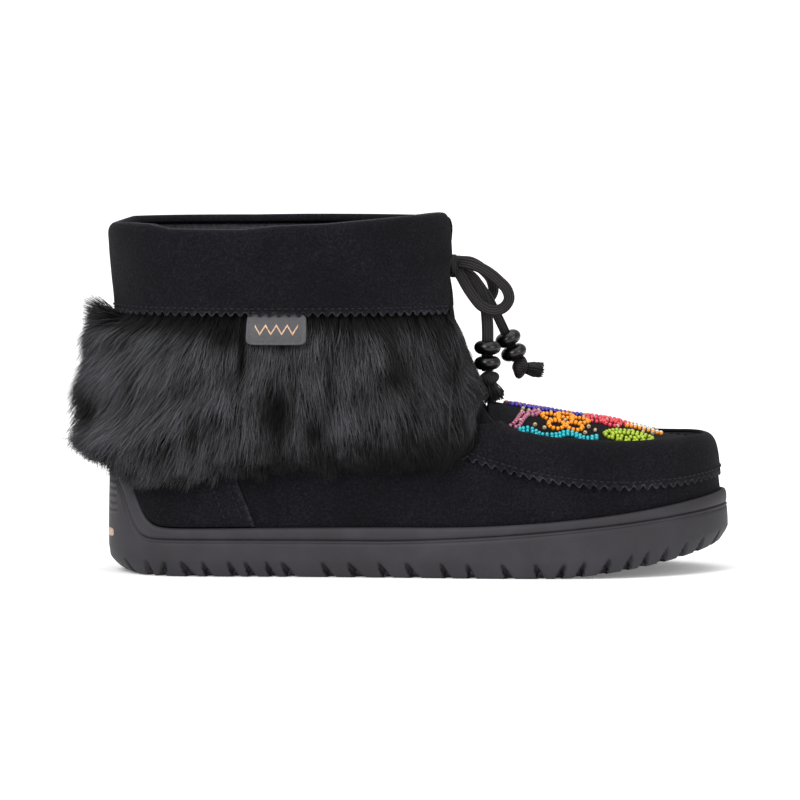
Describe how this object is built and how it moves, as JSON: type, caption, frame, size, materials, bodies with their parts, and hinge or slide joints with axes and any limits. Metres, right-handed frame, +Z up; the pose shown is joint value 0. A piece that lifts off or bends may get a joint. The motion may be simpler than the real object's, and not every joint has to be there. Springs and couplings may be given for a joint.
{
  "type": "mukluk boot",
  "caption": "Low mukluk boot with a folded suede cuff, a deep fur ruff, a moccasin toe with a raised plug, a front tie lace with beads and a lugged rubber cupsole.",
  "frame": {"origin": "on the floor under the middle of the heel, at the sole's round heel pad", "axes": "+X to the toe, +Y to the inner side of the foot, +Z up"},
  "size_m": [0.2995, 0.1099, 0.1585],
  "materials": {
    "outsole": "matte moulded rubber",
    "insole": "matte textile",
    "upper": "suede",
    "vamp_plug": "suede",
    "toe_band": "suede",
    "heel_counter": "suede",
    "collar_cuff": "suede",
    "tongue": "brushed textile",
    "fur_ruff": "long soft fur",
    "side_tag": "satin moulded rubber",
    "lace": "flat braid",
    "bead": "gloss"
  },
  "bodies": {
    "root": {"outsole": "outsole", "insole": "insole", "upper": "upper", "vamp_plug": "vamp_plug", "toe_band": "toe_band", "heel_counter": "heel_counter", "collar_cuff": "collar_cuff", "tongue": "tongue", "fur_ruff": "fur_ruff", "side_tag": "side_tag", "lace_bar": "lace", "lace_knot": "lace", "lace_loop_near": "lace", "lace_loop_far": "lace", "lace_end_near": "lace", "lace_end_far": "lace", "stopper_near": "lace", "stopper_far": "lace", "bead_near_top": "bead", "bead_near_low": "bead", "bead_far_top": "bead", "bead_far_low": "bead"}
  },
  "joints": []
}
